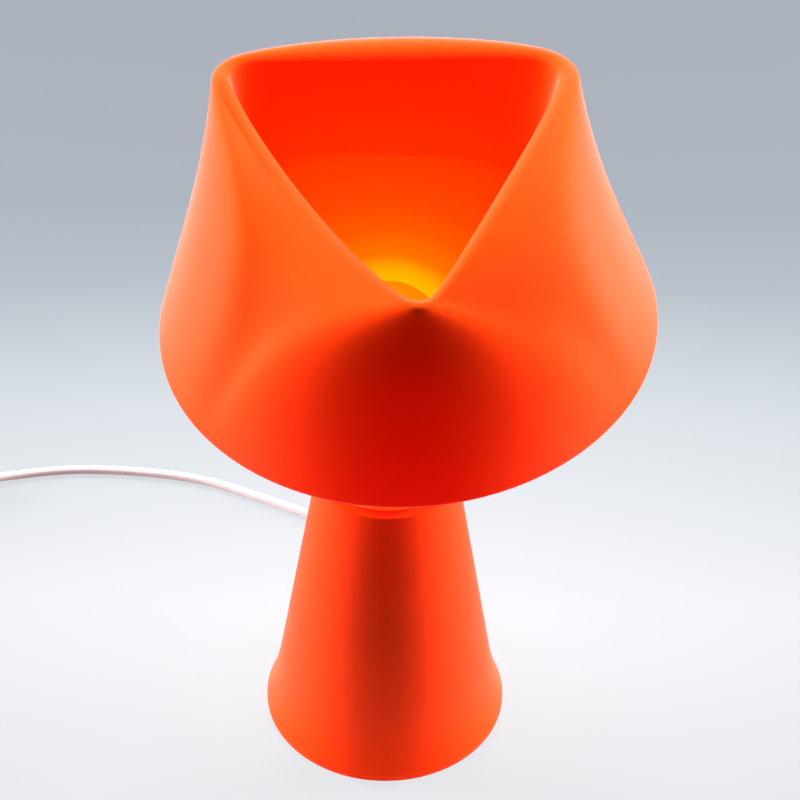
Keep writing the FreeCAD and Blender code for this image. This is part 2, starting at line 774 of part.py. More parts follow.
def shade():
    columns = [Column(angle) for angle in column_angles()]

    def ring(method, *values):
        return [getattr(column, method)(*values) for column in columns]

    skirt_parts = [1.0, 0.8, 0.6, 0.4, 0.2, 0.08, 0.0]
    roll_turns = [0.0, 0.17, 0.33, 0.5, 0.67, 0.83, 1.0]
    floor_top = shade_floor + shade_floor_thickness
    ledge_top = ledge_from_neck + ledge_slope
    shown_skirt = [ring("on_skirt", part, 0.0) for part in skirt_parts]
    shown_roll = [ring("on_roll", turn, 0.0) for turn in roll_turns]
    hidden_skirt = [ring("on_skirt", part, sheet) for part in skirt_parts]
    hidden_roll = [ring("on_roll", turn, sheet) for turn in roll_turns]
    ledge_high = ring("on_funnel", ledge_top, sheet)
    ledge_low = ring("on_funnel", ledge_from_neck, funnel_sheet)
    wall_foot = ring("funnel_at_height", floor_top, funnel_sheet)
    hole_high = ring("at_floor", shade_hole, floor_top)
    hole_low = ring("at_floor", shade_hole, shade_floor)
    neck = ring("on_funnel", 0.0, 0.0)
    shown_skirt[-1], hidden_skirt[-1] = shown_roll[0], hidden_roll[0]
    strips = [shown_skirt, shown_roll, [shown_roll[-1], ledge_high], [ledge_high, ledge_low],
              [ledge_low, wall_foot], [wall_foot, hole_high], [hole_high, hole_low], [hole_low, neck],
              [neck, hidden_roll[-1]], hidden_roll, hidden_skirt, [hidden_skirt[0], shown_skirt[0]]]
    sewn = Part.makeShell([surface_through(rings) for rings in strips])
    sewn.sewShape()
    solid = Part.Solid(Part.Shell(sewn.Faces))
    if solid.Volume < 0:
        solid.reverse()
    return solid


# Cords

def swept(edges, radius):
    """A tube of this radius along edges that meet tangent to each other."""
    path = Part.Wire(edges)
    first = edges[0]
    start = first.valueAt(first.FirstParameter)
    aim = first.tangentAt(first.FirstParameter)
    pipe = Part.BRepOffsetAPI.MakePipeShell(path)
    pipe.add(Part.Wire(Part.makeCircle(radius, start, aim)))
    pipe.build()
    pipe.makeSolid()
    return pipe.shape()


def run_and_arc(name, route, radius=cord_radius):
    """A plain tube: straight runs joined by arcs as large as the runs allow."""
    points = [V(*p) for p in route]
    edges, radii, at = [], [], points[0]
    for before, corner, after in zip(points, points[1:], points[2:]):
        back, on = before - corner, after - corner
        shorter = min(back.Length, on.Length)
        back.normalize()
        on.normalize()
        half_turn = (math.pi - back.getAngle(on)) / 2
        reach = 0.45 * shorter
        radii.append(reach / math.tan(half_turn))
        start, end = corner + back * reach, corner + on * reach
        inward = back + on
        inward.normalize()
        middle = corner + inward * (radii[-1] / math.cos(half_turn) - radii[-1])
        edges += [Part.makeLine(at, start), Part.Arc(start, middle, end).toShape()]
        at = end
    edges.append(Part.makeLine(at, points[-1]))
    shape = swept(edges, radius)
    length = sum(edge.Length for edge in edges)
    print(name, "length", round(length, 1), "radii", [round(r, 1) for r in radii], "volume",
          round(shape.Volume, 1), "section times length", round(math.pi * radius ** 2 * length, 1))
    return shape


def arc_from(start, aim, end):
    """The arc that leaves start along aim and ends at end, or a line, and its direction at the end."""
    step = end - start
    across = step - aim * step.dot(aim)
    if across.Length < 1e-7:
        return Part.makeLine(start, end), aim
    radius = step.dot(step) / (2 * across.Length)
    across.normalize()
    centre = start + across * radius
    outward = (start - centre) + (end - centre)
    outward.normalize()
    turned = step * (2 * step.dot(aim) / step.dot(step)) - aim
    turned.normalize()
    return Part.Arc(start, centre + outward * radius, end).toShape(), turned


def biarc(p0, t0, p1, t1):
    """Two arcs from p0 to p1 with these directions at the ends."""
    chord = p1 - p0
    along = chord.dot(t0 + t1)
    opening = 2 * (1 - t0.dot(t1))
    if opening < 1e-9:
        reach = chord.dot(chord) / (4 * chord.dot(t1))
    else:
        reach = (math.sqrt(along * along + opening * chord.dot(chord)) - along) / opening
    joint = (p0 + p1 + (t0 - t1) * reach) * 0.5
    first, aim = arc_from(p0, t0, joint)
    second, _ = arc_from(joint, aim, p1)
    return [first, second]


coil_pitch = 2 * cord_radius + coil_gap
coil_low = coil_lift + cord_radius
coil_turns = coil_turns_in + coil_turns_out


def coil_point(turn):
    """The coil's line after so many turns: spirals in below, climbs at the middle, spirals out above."""
    past = turn - coil_turns_in
    share = min(max(past / 0.5 + 0.5, 0.0), 1.0)
    height = coil_low + coil_pitch * share * share * (3 - 2 * share)
    steps = abs(past) if abs(past) > 0.25 else 2 * past * past + 0.125
    radius = coil_inner_radius + coil_pitch * steps
    angle = math.radians(coil_start) + 2 * math.pi * turn
    return V(coil_centre[0] + radius * math.cos(angle), coil_centre[1] + radius * math.sin(angle), height)


def coil_aim(turn):
    small = 1e-4
    aim = coil_point(turn + small) - coil_point(turn - small)
    aim.normalize()
    return aim


def cord_coil():
    """The wound turns as one unbroken tube, with a straight end of one diameter at each side."""
    turns = [i / 4.0 for i in range(int(round(coil_turns * 4)) + 1)]
    places = [(coil_point(turn), coil_aim(turn)) for turn in turns]
    (start, start_aim), (end, end_aim) = places[0], places[-1]
    straight = 2 * cord_radius
    edges = [Part.makeLine(start - start_aim * straight, start)]
    for (p0, t0), (p1, t1) in zip(places, places[1:]):
        edges += biarc(p0, t0, p1, t1)
    edges.append(Part.makeLine(end, end + end_aim * straight))
    shape = swept(edges, cord_radius)
    length = sum(edge.Length for edge in edges)
    line = []
    for edge in edges:
        line += edge.discretize(Number=max(2, int(edge.Length / 1.5)))[:-1]
    least = min((a - b).Length for i, a in enumerate(line) for b in line[i + 12:])
    print("cord_coil length", round(length, 1), "least gap", round(least - 2 * cord_radius, 2), "volume",
          round(shape.Volume, 1), "section times length", round(math.pi * cord_radius ** 2 * length, 1),
          "from", start - start_aim * straight, "to", end + end_aim * straight)
    return shape


def coil_tie():
    """A flat strap round all the turns, on the side of the coil that faces the lamp."""
    inner_turn = coil_inner_radius + tie_turns[0] * coil_pitch
    low = math.sqrt((inner_turn - cord_radius) ** 2 - (tie_width / 2) ** 2) - 2 * tie_gap
    high = coil_inner_radius + tie_turns[1] * coil_pitch + cord_radius + tie_gap
    bottom = coil_lift - tie_gap
    top = coil_low + coil_pitch + cord_radius + tie_gap
    inside = Part.makeBox(high - low, tie_width, top - bottom, V(low, -tie_width / 2, bottom))
    outside = Part.makeBox(high - low + 2 * tie_thickness, tie_width, top - bottom + 2 * tie_thickness,
                           V(low - tie_thickness, -tie_width / 2, bottom - tie_thickness))
    upright = [edge for edge in outside.Edges if abs(edge.tangentAt(edge.FirstParameter).y) > 0.9]
    strap = outside.makeFillet(tie_rounding, upright).cut(inside)
    strap.rotate(V(0, 0, 0), V(0, 0, 1), coil_start - 90)
    strap.translate(V(coil_centre[0], coil_centre[1], 0))
    return strap


# Cord inside the base, its gland and clamp

cone_inside = side_radius(gland_height + gland_flange_radius, cone_inset + cone_wall)
flange_end = math.sqrt(cone_inside ** 2 - gland_flange_radius ** 2) - soft_gap
gland_tip = lead_route[0][1]
sheath_end = tube_top + sheath_above_tube


def along_y(profile):
    """A solid of revolution about the cord's axis at the gland, from (distance along +Y, radius) points."""
    points = [V(0, y, gland_height + r) for y, r in profile]
    return Part.Face(Part.makePolygon(points + points[:1])).revolve(V(0, 0, gland_height), V(0, 1, 0), 360)


def cord_gland():
    """The tapered sleeve that the cord leaves the base through, ribbed by rings towards its tip."""
    bore = cord_radius + gland_bore_gap
    flange_start = flange_end - gland_flange
    profile = [(flange_start, bore), (flange_start, gland_flange_radius), (flange_end, gland_flange_radius),
               (flange_end, gland_root_radius), (lip_radius, gland_root_radius)]
    first = lip_radius + gland_plain
    step = (gland_tip - first) / gland_rib_count
    rib, groove, groove_end = (share * step for share in gland_rib_shape)
    for i in range(gland_rib_count):
        start = first + i * step
        here = gland_root_radius + (gland_tip_radius - gland_root_radius) * (i + 1) / gland_rib_count
        profile += [(start, here), (start + rib, here), (start + groove, here - gland_groove),
                    (start + groove_end, here - gland_groove)]
    profile += [(gland_tip, gland_tip_radius), (gland_tip, bore)]
    return along_y(profile)


def gland_hole():
    radius = gland_root_radius + gland_hole_gap
    return along_y([(flange_end, 0), (flange_end, radius), (gland_tip, radius), (gland_tip, 0)])


def inner_cord():
    """The cord that the base holds: in through the gland, round a bend and up the tube."""
    bend_start = V(0, cord_bend, gland_height)
    bend_end = V(0, 0, gland_height + cord_bend)
    centre = V(0, cord_bend, gland_height + cord_bend)
    middle = centre + V(0, -1, -1) * (cord_bend * math.sqrt(0.5))
    edges = [Part.makeLine(V(0, gland_tip, gland_height), bend_start),
             Part.Arc(bend_start, middle, bend_end).toShape(), Part.makeLine(bend_end, V(0, 0, sheath_end))]
    return swept(edges, cord_radius)


def conductors():
    """The two cores, from the end of the sheath to the holder's terminals."""
    cores = []
    for side in (-1, 1):
        inner, outer = side * conductor_offset, side * (terminal_offset - terminal_head_radius)
        height = insert_bottom - conductor_radius
        route = [(inner, 0, sheath_end), (inner, 0, height), (outer, 0, height)]
        cores.append(run_and_arc("conductor", route, conductor_radius))
    return Part.makeCompound(cores)


def clamp_screw_places():
    return [(side * clamp_screw_offset, clamp_place) for side in (-1, 1)]


def cord_clamp():
    wide, deep, tall = clamp_size
    block = Part.makeBox(wide, deep, tall, V(-wide / 2, clamp_place - deep / 2, plate_top))
    block = block.cut(Part.makeCylinder(cord_radius + clamp_bore_gap, deep + 2,
                                        V(0, clamp_place - deep / 2 - 1, gland_height), V(0, 1, 0)))
    for x, y in clamp_screw_places():
        block = block.cut(cylinder(clamp_screw_radius + screw_clearance, 0, plate_top + tall + 1, x, y))
    return block


def clamp_screws():
    screws = []
    top = plate_top + clamp_size[2]
    for x, y in clamp_screw_places():
        shank = cylinder(clamp_screw_radius, plate_top - clamp_screw_depth, top, x, y)
        screws.append(shank.fuse(cylinder(clamp_screw_head_radius, top, top + clamp_screw_head, x, y)))
    return Part.makeCompound(screws)


# Switch on the cord, worked at the origin with the cord along X, then placed

def on_cord(shape, start, heading):
    placed = shape.copy()
    placed.rotate(V(0, 0, 0), V(0, 0, 1), heading)
    placed.translate(V(start[0], start[1], 0))
    return placed


switch_middle = switch_length / 2
switch_entry = lead_route[-1]
switch_axis = switch_entry[2]


def at_switch(shape):
    return on_cord(shape, switch_entry, switch_heading)


def switch_block(inset, bottom, top):
    """The switch's outline, a box with rounded ends, moved inward by inset."""
    length, width = switch_length - 2 * inset, switch_width - 2 * inset
    block = Part.makeBox(length, width, top - bottom, V(inset, -width / 2, bottom))
    upright = [edge for edge in block.Edges if abs(edge.tangentAt(edge.FirstParameter).z) > 0.9]
    return block.makeFillet(switch_rounding - inset, upright)


def switch_shell():
    """Both halves' outside as one block, with its rims rounded."""
    block = switch_block(0.0, 0.0, switch_height)
    rims = [edge for edge in block.Edges if min(abs(edge.BoundBox.ZMin - z) + abs(edge.BoundBox.ZMax - z)
                                                for z in (0.0, switch_height)) < 0.01]
    block = block.makeFillet(switch_rim, rims)
    hollow = switch_block(switch_wall, switch_wall, switch_height - switch_wall)
    return block.cut(hollow).cut(cord_hole(cord_radius + gland_bore_gap))


def cord_hole(radius):
    return Part.makeCylinder(radius, switch_length + 2, V(-1, 0, switch_axis), V(1, 0, 0))


def switch_posts(bottom, top, radius):
    places = [switch_middle + side * switch_screw_offset for side in (-1, 1)]
    return [cylinder(radius, bottom, top, x, post_side) for x in places]


def switch_lower():
    corner = V(-1, -switch_width / 2 - 1, -1)
    keep = Part.makeBox(switch_length + 2, switch_width + 2, switch_split + 1, corner)
    half = switch_shell().common(keep)
    for post in switch_posts(switch_wall - post_root, switch_split, post_radius):
        half = half.fuse(post)
    for hole in switch_posts(-1, switch_split + 1, post_hole_radius):
        half = half.cut(hole)
    for hole in switch_posts(-1, switch_screw_sunk[1], switch_head_hole_radius):
        half = half.cut(hole)
    return at_switch(half.removeSplitter())


def rocker_zone(reach, width):
    return Part.makeCylinder(reach, width, V(switch_middle, -width / 2, rocker_pin_height), V(0, 1, 0))


def switch_upper():
    keep = Part.makeBox(switch_length + 2, switch_width + 2, switch_height + 1,
                        V(-1, -switch_width / 2 - 1, switch_split))
    half = switch_shell().common(keep)
    top = switch_height - switch_wall + post_root
    for post in switch_posts(switch_split, top, post_radius):
        half = half.fuse(post)
    ear_middle = (rocker_width + ear_thickness) / 2 + rocker_gap
    for side in (-1, 1):
        half = half.fuse(Part.makeBox(ear_length, ear_thickness, top - switch_split,
                                      V(switch_middle - ear_length / 2, side * ear_middle - ear_thickness / 2,
                                        switch_split)))
    half = half.cut(rocker_zone(rocker_reach + rocker_gap, rocker_width + 2 * rocker_gap))
    half = half.cut(pin_bar(pin_radius))
    for hole in switch_posts(switch_split - 1, switch_split + post_depth, switch_screw_radius):
        half = half.cut(hole)
    return at_switch(half.removeSplitter())


def pin_bar(radius):
    length = rocker_width + 2 * rocker_gap + 2 * ear_thickness
    return Part.makeCylinder(radius, length, V(switch_middle, -length / 2, rocker_pin_height), V(0, 1, 0))


def rocker_pin():
    return at_switch(pin_bar(pin_radius))


def switch_rocker():
    """A shallow V of two pads on a drum about the pin, tilted to its on side."""
    end = rocker_reach + 1
    pads = [V(-end, 0, rocker_low), V(end, 0, rocker_low), V(end, 0, rocker_end), V(0, 0, rocker_middle),
            V(-end, 0, rocker_end)]
    body = Part.Face(Part.makePolygon(pads + pads[:1])).extrude(V(0, rocker_width, 0))
    body.translate(V(switch_middle, -rocker_width / 2, rocker_pin_height))
    body = body.common(rocker_zone(rocker_reach, rocker_width)).cut(pin_bar(pin_radius + pin_gap))
    body.rotate(V(switch_middle, 0, rocker_pin_height), V(0, 1, 0), rocker_tilt)
    return at_switch(body)


def switch_terminals():
    """Two brass blocks on the switch's floor, one at each end of the broken core."""
    blocks = []
    long, wide, tall = terminal_block
    for side in (-1, 1):
        x = switch_middle + side * terminal_block_offset
        block = Part.makeBox(long, wide, tall, V(x - long / 2, terminal_block_side - wide / 2, switch_wall))
        blocks.append(block.cut(cylinder(terminal_bore, switch_wall + tall / 2, switch_wall + tall + 1,
                                         x, terminal_block_side)))
    return at_switch(Part.makeCompound(blocks))


def switch_spring():
    """The leaf that joins the terminals under the rocker."""
    left, right = switch_middle - leaf_reach, switch_middle + leaf_reach
    low, high, thick = switch_wall, switch_wall + leaf_rise, leaf_thickness
    points = [(left, low), (left + leaf_foot, high), (right - leaf_foot, high), (right, low),
              (right, low + thick), (right - leaf_foot + leaf_corner, high + thick),
              (left + leaf_foot - leaf_corner, high + thick), (left, low + thick)]
    loop = [V(x, terminal_block_side - leaf_width / 2, z) for x, z in points]
    return at_switch(Part.Face(Part.makePolygon(loop + loop[:1])).extrude(V(0, leaf_width, 0)))


def switch_cores():
    """The core that runs through the switch, and the two ends of the one that it breaks."""
    through = Part.makeCylinder(conductor_radius, switch_length - 2 * core_in_cord,
                                V(core_in_cord, conductor_offset, switch_axis), V(1, 0, 0))
    cores = [through]
    for side in (-1, 1):
        outer = switch_middle + side * (switch_middle - core_in_cord)
        inner = switch_middle + side * (terminal_block_offset + terminal_block[0] / 2)
        height = switch_wall + terminal_block[2] / 2
        straight = side * core_straight
        route = [(outer, -conductor_offset, switch_axis), (outer - straight, -conductor_offset, switch_axis),
                 (inner + straight, terminal_block_side, height), (inner, terminal_block_side, height)]
        cores.append(run_and_arc("core end", route, conductor_radius))
    return at_switch(Part.makeCompound(cores))


def switch_screws():
    low, high = switch_screw_sunk
    heads = switch_posts(low, high, switch_screw_head_radius)
    shanks = switch_posts(high, switch_split + post_depth, switch_screw_radius)
    return at_switch(Part.makeCompound([head.fuse(shank) for head, shank in zip(heads, shanks)]))


# Plug, worked with the cord along X, then placed

plug_entry = tail_route[-1]
plug_run = (tail_route[-1][0] - tail_route[-2][0], tail_route[-1][1] - tail_route[-2][1])
plug_heading = math.degrees(math.atan2(plug_run[1], plug_run[0]))
plug_axis = plug_entry[2]
plug_face = plug_relief + plug_steps[-1][0]


def at_plug(shape):
    return on_cord(shape, plug_entry, plug_heading)


def plug_section(x, width, thickness, corner):
    """A rounded rectangle across the plug, as a closed wire of lines and arcs."""
    block = Part.makeBox(1.0, width, thickness, V(x, -width / 2, plug_axis - thickness / 2))
    long_edges = [edge for edge in block.Edges if abs(edge.tangentAt(edge.FirstParameter).x) > 0.9]
    block = block.makeFillet(corner, long_edges)
    face = min(block.Faces, key=lambda f: f.CenterOfMass.x)
    return face.OuterWire


def plug_body():
    """The flat plug: a tapered relief for the cord, then a body that widens to its face."""
    sections = [plug_section(plug_relief + x, width, thickness, plug_corner * thickness)
                for x, width, thickness in plug_steps]
    body = Part.makeLoft(sections, True, True)
    body = body.fuse(Part.makeCone(*relief_radii, plug_relief + 1, V(0, 0, plug_axis), V(1, 0, 0)))
    for x, y in plug_pin_places():
        start = V(x - plug_root, y, plug_axis)
        body = body.cut(Part.makeCylinder(waist_radius, plug_root + 1, start, V(1, 0, 0)))
    return at_plug(body.removeSplitter())


def plug_pin_places():
    return [(plug_face, side * plug_pin_spacing / 2) for side in (-1, 1)]


sleeve_radius = plug_pin_radius - sleeve_gap
waist_radius = sleeve_radius - sleeve_wall                # of the pin in the plug and inside its sleeve


def plug_pins():
    """The two pins, each thinner from its root in the plug to the end of its sleeve."""
    pins = []
    bare_length = plug_pin_length - sleeve_length - plug_pin_radius
    for x, y in plug_pin_places():
        start = V(x - plug_root, y, plug_axis)
        core = Part.makeCylinder(waist_radius, plug_root + sleeve_length, start, V(1, 0, 0))
        bare = Part.makeCylinder(plug_pin_radius, bare_length, V(x + sleeve_length, y, plug_axis), V(1, 0, 0))
        nose = Part.makeSphere(plug_pin_radius, V(x + plug_pin_length - plug_pin_radius, y, plug_axis))
        pins.append(core.fuse([bare, nose]).removeSplitter())
    return at_plug(Part.makeCompound(pins))


def pin_sleeves():
    sleeves = []
    for x, y in plug_pin_places():
        sleeve = Part.makeCylinder(sleeve_radius, sleeve_length, V(x, y, plug_axis), V(1, 0, 0))
        pin = Part.makeCylinder(waist_radius, sleeve_length, V(x, y, plug_axis), V(1, 0, 0))
        sleeves.append(sleeve.cut(pin))
    return at_plug(Part.makeCompound(sleeves))


def main():
    cord_way = gland_hole()
    pieces = {
        "foot_pad": foot_pad(),
        "base_plate": base_plate(),
        "plate_screws": plate_screws(),
        "ballast": ballast(),
        "inner_cone": inner_cone().cut(cord_way),
        "base_cover": base_cover().cut(cord_way),
        "top_plate": top_plate(),
        "shade_seat": shade_seat(),
        "threaded_tube": threaded_tube(),
        "stem_nuts": stem_nuts(),
        "stem_washers": stem_washers(),
        "cord_gland": cord_gland(),
        "cord_clamp": cord_clamp(),
        "clamp_screws": clamp_screws(),
        "inner_cord": inner_cord(),
        "conductors": conductors(),
        "holder_cap": holder_cap(),
        "holder_body": holder_body(),
        "holder_insert": holder_insert(),
        "thread_shell": thread_shell(),
        "centre_contact": centre_contact(),
        "terminal_screws": terminal_screws(),
        "holder_ring": holder_ring(),
        "bulb_contact": bulb_contact(),
        "bulb_insulator": bulb_insulator(),
        "bulb_cap": bulb_cap(),
        "bulb_housing": bulb_housing(),
        "bulb_diffuser": bulb_diffuser(),
        "led_board": led_board(),
        "led_driver": led_driver(),
        "shade": shade(),
        "cord_lead": run_and_arc("cord_lead", lead_route),
        "switch_lower": switch_lower(),
        "switch_upper": switch_upper(),
        "switch_rocker": switch_rocker(),
        "rocker_pin": rocker_pin(),
        "switch_terminals": switch_terminals(),
        "switch_spring": switch_spring(),
        "switch_cores": switch_cores(),
        "switch_screws": switch_screws(),
        "cord_between": run_and_arc("cord_between", between_route),
        "cord_coil": cord_coil(),
        "coil_tie": coil_tie(),
        "cord_tail": run_and_arc("cord_tail", tail_route),
        "plug_body": plug_body(),
        "plug_pins": plug_pins(),
        "pin_sleeves": pin_sleeves(),
    }
    for name, shape in pieces.items():
        export(name, shape)


main()
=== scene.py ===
import json
import math

import bmesh
import bpy
from mathutils import Matrix, Vector


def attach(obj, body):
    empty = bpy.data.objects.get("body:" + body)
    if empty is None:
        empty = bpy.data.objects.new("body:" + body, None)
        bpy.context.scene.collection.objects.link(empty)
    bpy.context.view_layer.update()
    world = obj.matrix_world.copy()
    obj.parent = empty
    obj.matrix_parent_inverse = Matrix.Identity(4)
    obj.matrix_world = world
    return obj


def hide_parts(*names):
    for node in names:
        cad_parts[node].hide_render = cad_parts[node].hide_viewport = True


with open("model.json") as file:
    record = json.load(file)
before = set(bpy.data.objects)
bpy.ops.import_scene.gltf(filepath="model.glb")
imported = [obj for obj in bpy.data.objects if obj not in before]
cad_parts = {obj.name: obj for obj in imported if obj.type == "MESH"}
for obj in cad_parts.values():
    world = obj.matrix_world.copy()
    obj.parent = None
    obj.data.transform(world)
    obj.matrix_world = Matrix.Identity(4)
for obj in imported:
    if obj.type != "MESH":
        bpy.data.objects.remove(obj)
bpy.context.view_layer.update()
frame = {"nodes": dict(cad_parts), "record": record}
nodes = frame["nodes"]
MM = 0.001

# Sizes, in millimetres unless said otherwise

lip_radius = 70.0
lip_height = 6.0
lip_fillet = 3.0
flare_height = 38.0
flare_bend = 0.45
cone_foot_radius = 67.6
neck_radius = 39.2
neck_height = 181.0
neck_fillet = 0.9
cover_wall = 3.0
cover_lift = 0.5
cover_top_hole = 31.0
cover_segments = 192
lip_rows, flare_rows, cone_rows = 8, 16, 24

shade_floor = neck_height + 3.0
shade_floor_thickness = 3.0
shade_hole = 20.5
funnel_radius = 36.0
sheet = 2.5
funnel_sheet = 5.0
ledge_from_neck = 168.0
ledge_slope = 3.0
ledge_above = 1.2              # last row of the wall above it
ledge_root = 0.1               # rounding where it meets that wall, both ways
ledge_edge = (0.25, 0.35)      # rounding of its inner edge, along the funnel and back from the face
ledge_below = 0.5              # first of the even rows below it
rim_radius = 133.3
rim_centre = (10.4, -0.8, 110.0)         # heights here are above the neck
rim_tilt_right = 2.6
rim_tilt_back = 6.3
fold_corners = [(15.0, -81.0, 195.5), (71.5, 50.5, 235.2), (-71.5, 56.0, 227.7)]
fold_corner_radii = [12.0, 21.0, 18.0]
fold_softness = 10.3
fold_side_rises = [7.0, 2.0, -6.0]
roll_corner_radii = [4.0, 5.8, 5.0]
roll_side_radii = [7.3, 11.0, 7.3]
shoulder_corners = [(48.0, -62.0), (71.5, 50.5), (-71.5, 56.0), (-28.0, -62.0)]
shoulder_corner_radii = [36.0, 33.0, 25.5, 36.0]
shoulder_side_bulges = [-4.0, 19.0, 0.0, 0.0]
shoulder_corner_drops = [8.0, 44.0, 44.0, 8.0]     # from the middle of the roll
shoulder_side_drops = [12.0, 31.0, 12.0, 12.0]
skirt_corner_ends = [10.0, 29.5, 25.5]   # degrees from upright at the rim
skirt_side_ends = [24.0, 30.0, 24.0]
skirt_reach = 0.38             # of its handle at the rim, as a share of its length
skirt_follow = 0.5             # how far its lower handle takes after the shoulder
skirt_swell = 10.0             # how far out that handle stands
rim_edge = 0.6                 # how far up the cuff its rounded rim reaches, in thicknesses of the sheet
rim_edge_steps = [(0.93, 0.36), (0.72, 0.16), (0.4, 0.04), (0.0, 0.0)]     # along that reach, into the sheet
wall_lit = 0.9                 # share of the bulb's painted light that the wall above the ledge shows: painted shade there
shade_columns = 288
column_samples = 20            # for each column, to spread the columns evenly
skirt_rows, roll_rows, wall_rows, funnel_rows = 44, 28, 12, 30
hidden_funnel_rows, hidden_roll_rows, hidden_skirt_rows = 26, 8, 20

cord_radius = 2.8
cord_exit = (0, 98, 12)
lead_route = [cord_exit, (0, 118, 10), (-14, 138, 5), (-40, 150.5, 2.8), (-80, 170, 2.8),
              (-120, 188, 2.8), (-165, 194.5, 2.8), (-205, 195.5, 2.8), (-238, 189.5, 3), (-264, 179.5, 6)]
between_route = [(-327.5, 155.1, 6), (-345.5, 148.2, 5), (-368.4, 146.5, 4.2), (-386.4, 139.6, 4)]
tail_route = [(-413.1, 76.8, 10.3), (-407, 60.5, 9.6), (-396, 45, 8), (-383, 33, 6.9)]
coil_centre = (-376.0, 97.0)
coil_inner_radius = 23.0
coil_start = 111.0
coil_turns_in = 3.25
coil_turns_out = 3.0
coil_pitch = 6.3
coil_low = 4.0
coil_steps = 16                # points for each turn
coil_crossing = 0.5            # of a turn, over which it climbs to the second layer


def scaled(points):
    return [tuple(v * MM for v in p) for p in points]


# Camera, solved from the photograph

camera_place = (6.677, -1244.26, 1301.99)
camera_down, camera_roll = 40.66, 0.77     # degrees
sensor_width, lens = 36.0, 135.0


def place_camera():
    position = Vector(camera_place) * MM
    down, roll = math.radians(camera_down), math.radians(camera_roll)
    ahead = Vector((0, math.cos(down), -math.sin(down)))
    right, up = Vector((1, 0, 0)), Vector((0, math.sin(down), math.cos(down)))
    across = right * math.cos(roll) + up * math.sin(roll)
    above = up * math.cos(roll) - right * math.sin(roll)
    data = bpy.data.cameras.new("camera")
    data.sensor_width = sensor_width
    data.lens = lens
    data.clip_end = 50.0
    camera = bpy.data.objects.new("camera", data)
    bpy.context.scene.collection.objects.link(camera)
    turn = Matrix((across, above, -ahead)).transposed().to_4x4()
    camera.matrix_world = Matrix.Translation(position) @ turn
    bpy.context.scene.camera = camera


place_camera()


# Meshes

def new_object(name, data):
    piece = bpy.data.objects.new(name, data)
    bpy.context.scene.collection.objects.link(piece)
    return piece


def mesh_piece(name, vertices, faces):
    data = bpy.data.meshes.new(name)
    data.from_pydata(vertices, [], faces)
    data.validate()
    data.shade_smooth()
    work = bmesh.new()
    work.from_mesh(data)
    bmesh.ops.recalc_face_normals(work, faces=work.faces)
    work.to_mesh(data)
    work.free()
    return new_object(name, data)


def lathe(name, profile, segments):
    """A closed (radius, height) profile turned about Z, in metres."""
    vertices = [(r * math.cos(a), r * math.sin(a), z) for r, z in profile
                for a in (2 * math.pi * i / segments for i in range(segments))]
    return mesh_piece(name, vertices, loop_faces(len(profile), segments))


def loop_faces(rows, columns):
    """The faces of rows closed rings that also close from the last ring to the first."""
    faces = []
    for i in range(rows):
        for j in range(columns):
            k, m = (i + 1) % rows, (j + 1) % columns
            faces.append((i * columns + j, i * columns + m, k * columns + m, k * columns + j))
    return faces


def rounded(corner, before, after, radius, steps=6):
    """Points of a small arc in place of a corner of a profile."""
    corner, before, after = Vector(corner), Vector(before), Vector(after)
    a, b = (before - corner).normalized(), (after - corner).normalized()
    half = a.angle(b) / 2
    reach = radius / math.tan(half)
    centre = corner + (a + b).normalized() * (radius / math.sin(half))
    start, end = corner + a * reach - centre, corner + b * reach - centre
    sweep = start.angle(end)
    points = []
    for i in range(steps + 1):
        share = i / steps
        toward = start * math.sin((1 - share) * sweep) + end * math.sin(share * sweep)
        points.append(centre + toward / math.sin(sweep))
    return [tuple(p) for p in points]


def spread(a, b, steps):
    """Points from a to b without b."""
    return [tuple(x + (y - x) * i / steps for x, y in zip(a, b)) for i in range(steps)]


# The base's skin

cone_slope = (cone_foot_radius - neck_radius) / neck_height


def base_profile():
    def cone(height, inset):
        return cone_foot_radius - cone_slope * height - inset * math.hypot(1, cone_slope)

    def side(inset, top):
        bend = lip_height + flare_bend * (flare_height - lip_height)
        a, c = (lip_radius - inset, lip_height), (cone(flare_height, inset), flare_height)
        b = (cone(bend, inset), bend)
        flare = [tuple((1 - t) ** 2 * p + 2 * t * (1 - t) * q + t * t * r for p, q, r in zip(a, b, c))
                 for t in (i / flare_rows for i in range(flare_rows + 1))]
        return flare[:-1] + spread(c, (cone(top, inset), top), cone_rows)

    top = (cone(neck_height, 0), neck_height)
    inner_top = (cone(neck_height - cover_wall, cover_wall), neck_height - cover_wall)
    outside = side(0, neck_height)
    inside = side(cover_wall, neck_height - cover_wall)
    shoulder = rounded(top, outside[-1], (cover_top_hole, neck_height), neck_fillet)
    out, up = lip_radius - lip_fillet, cover_lift + lip_fillet
    foot = [(out + lip_fillet * math.cos(a), up + lip_fillet * math.sin(a))
            for a in (-math.pi / 2 + math.pi / 2 * i / lip_rows for i in range(lip_rows + 1))]
    hole_top = (cover_top_hole, neck_height)
    profile = foot + outside + shoulder + spread((cover_top_hole + cover_wall, neck_height), hole_top, 2)
    profile += [hole_top, (cover_top_hole, neck_height - cover_wall), inner_top]
    profile += list(reversed(inside))
    return [(r * MM, z * MM) for r, z in profile]


cover = lathe("base_skin", base_profile(), cover_segments)
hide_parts("base_cover")
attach(cover, "base")


# The shade

